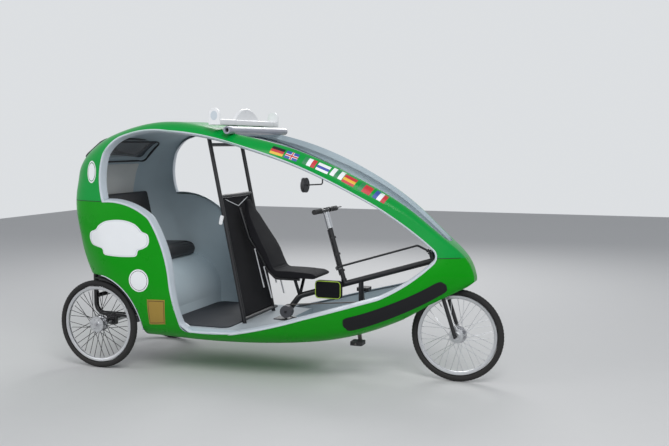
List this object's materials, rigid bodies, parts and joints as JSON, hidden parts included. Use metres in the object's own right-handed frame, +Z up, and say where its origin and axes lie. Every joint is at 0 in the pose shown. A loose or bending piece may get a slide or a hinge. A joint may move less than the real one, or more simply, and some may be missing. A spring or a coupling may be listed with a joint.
{
  "type": "cycle rickshaw",
  "caption": "Three-wheeled cabin cycle rickshaw: steered front wheel, driver's seat ahead of a passenger bench, moulded tub and arched canopy with two rails to the nose.",
  "frame": {"origin": "on the ground under the middle of the overall length", "axes": "+X forward, +Y to the rider's left, +Z up"},
  "size_m": [3.0147, 1.0912, 1.7829],
  "materials": {
    "body_green": "moulded green plastic, satin gloss",
    "canopy_green": "moulded green plastic, satin gloss, lighter",
    "window_clear": "clear pane",
    "panel_pale": "blank pale panel",
    "seat_black": "black woven mesh",
    "bench_black": "black imitation leather",
    "mat_grey": "dark ribbed rubber",
    "frame_black": "black powder coat",
    "partition_black": "black cloth with a white stripe",
    "tyre": "rubber",
    "rim_silver": "plain alloy",
    "rim_black": "black rim and spokes",
    "hub_silver": "cast alloy",
    "steel": "bright steel",
    "motor_grey": "dark casting",
    "plastic_black": "black plastic",
    "grip_rubber": "black grips",
    "chain_steel": "oiled steel",
    "cover_clear": "rolled grey sheet",
    "pouch_black": "black cloth with lime piping",
    "mirror_black": "black shell"
  },
  "bodies": {
    "body": {"lower_hull": "body_green", "canopy": "canopy_green", "rear_window": "window_clear", "notice_panel": "panel_pale", "bench_cushion": "bench_black", "bench_backrest": "bench_black", "floor_mat": "mat_grey", "roll_frame": "frame_black", "partition": "partition_black", "main_frame": "frame_black", "driver_seat": "seat_black", "rear_frame": "frame_black", "rear_axle": "steel", "drive_unit": "motor_grey", "battery_box": "plastic_black", "mudguards": "plastic_black", "gear_hub": "hub_silver", "chain": "chain_steel", "roof_sign": "panel_pale", "rain_roll": "cover_clear", "mirror": "mirror_black", "side_pouch": "pouch_black"},
    "fork": {"fork": "frame_black"},
    "front_wheel": {"front_tyre": "tyre", "front_rim": "rim_silver", "front_hub": "hub_silver"},
    "steering_column": {"column": "frame_black", "handlebar": "frame_black", "grips": "grip_rubber", "brake_levers": "steel"},
    "tie_rod": {"tie_rod": "steel"},
    "left_wheel": {"left_tyre": "tyre", "left_rim": "rim_black", "left_hub": "hub_silver"},
    "right_wheel": {"right_tyre": "tyre", "right_rim": "rim_black", "right_hub": "hub_silver"},
    "crank": {"crankset": "steel"},
    "left_pedal": {"pedal_left": "plastic_black"},
    "right_pedal": {"pedal_right": "plastic_black"}
  },
  "joints": [
    {"name": "front_steer", "type": "hinge", "parent": "body", "child": "fork", "pos_m": [1.2025, 0, 0.305], "axis": [-0.309, 0, 0.9511], "range_deg": [-30, 30]},
    {"name": "front_wheel_spin", "type": "hinge", "parent": "fork", "child": "front_wheel", "pos_m": [1.2025, 0, 0.305], "axis": [0, 1, 0], "continuous": true},
    {"name": "column_turn", "type": "hinge", "parent": "body", "child": "steering_column", "pos_m": [0.4195, 0, 0.633], "axis": [-0.2742, 0, 0.9617], "range_deg": [-30, 30]},
    {"name": "tie_rod_swing", "type": "hinge", "parent": "steering_column", "child": "tie_rod", "pos_m": [0.39702, -0.062, 0.71186], "axis": [-0.2742, 0, 0.9617], "range_deg": [-30, 30]},
    {"name": "left_wheel_spin", "type": "hinge", "parent": "body", "child": "left_wheel", "pos_m": [-1.2025, 0.49, 0.305], "axis": [0, 1, 0], "continuous": true},
    {"name": "right_wheel_spin", "type": "hinge", "parent": "body", "child": "right_wheel", "pos_m": [-1.2025, -0.49, 0.305], "axis": [0, 1, 0], "continuous": true},
    {"name": "crank_spin", "type": "hinge", "parent": "body", "child": "crank", "pos_m": [0.5435, 0, 0.393], "axis": [0, 1, 0], "continuous": true},
    {"name": "left_pedal_spin", "type": "hinge", "parent": "crank", "child": "left_pedal", "pos_m": [0.52123, 0.13, 0.55144], "axis": [0, 1, 0], "continuous": true},
    {"name": "right_pedal_spin", "type": "hinge", "parent": "crank", "child": "right_pedal", "pos_m": [0.56577, -0.13, 0.23456], "axis": [0, 1, 0], "continuous": true}
  ],
  "couplings": [
    {"joint": "column_turn", "follows": "front_steer", "ratio": 1},
    {"joint": "tie_rod_swing", "follows": "front_steer", "ratio": -1}
  ]
}
